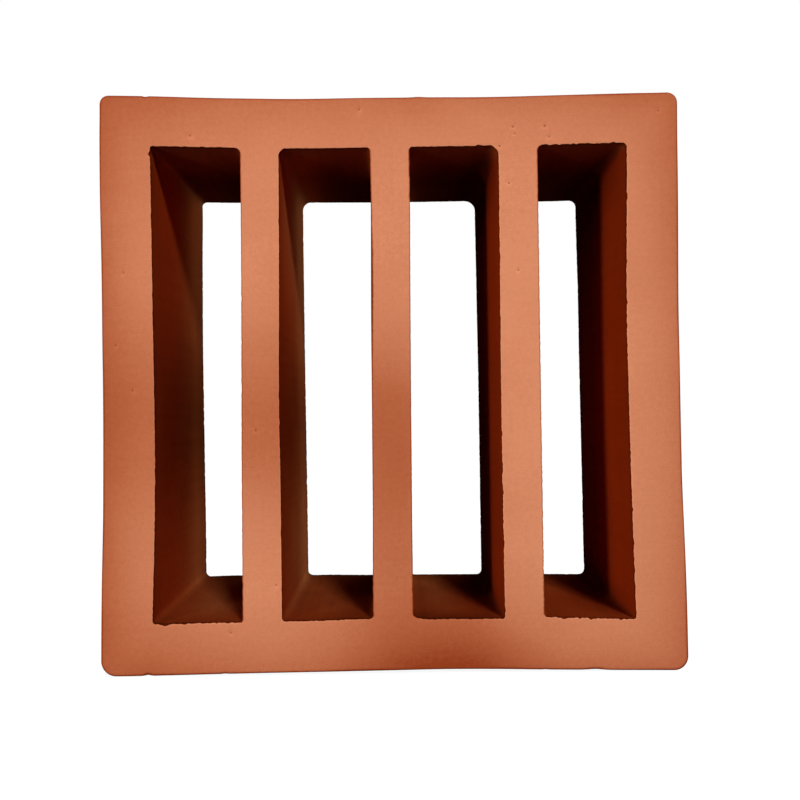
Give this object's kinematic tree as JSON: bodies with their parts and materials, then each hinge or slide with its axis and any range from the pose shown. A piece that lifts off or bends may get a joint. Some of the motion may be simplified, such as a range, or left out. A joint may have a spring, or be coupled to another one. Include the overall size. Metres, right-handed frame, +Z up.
{
  "type": "terracotta breeze block",
  "caption": "Square fired-clay screen block, a thick frame with upright fins and open slots right through, laid in mortar to let air and light pass a wall.",
  "frame": {"origin": "middle of the underside, on the floor it stands on", "axes": "+X across the block, +Y from the front cut face to the back one along the slots' depth, +Z up along the fins"},
  "size_m": [0.2, 0.1, 0.199],
  "materials": {
    "terracotta": "unglazed, matt, sandy, faintly mottled"
  },
  "bodies": {
    "root": {"breeze_block": "terracotta"}
  },
  "joints": []
}
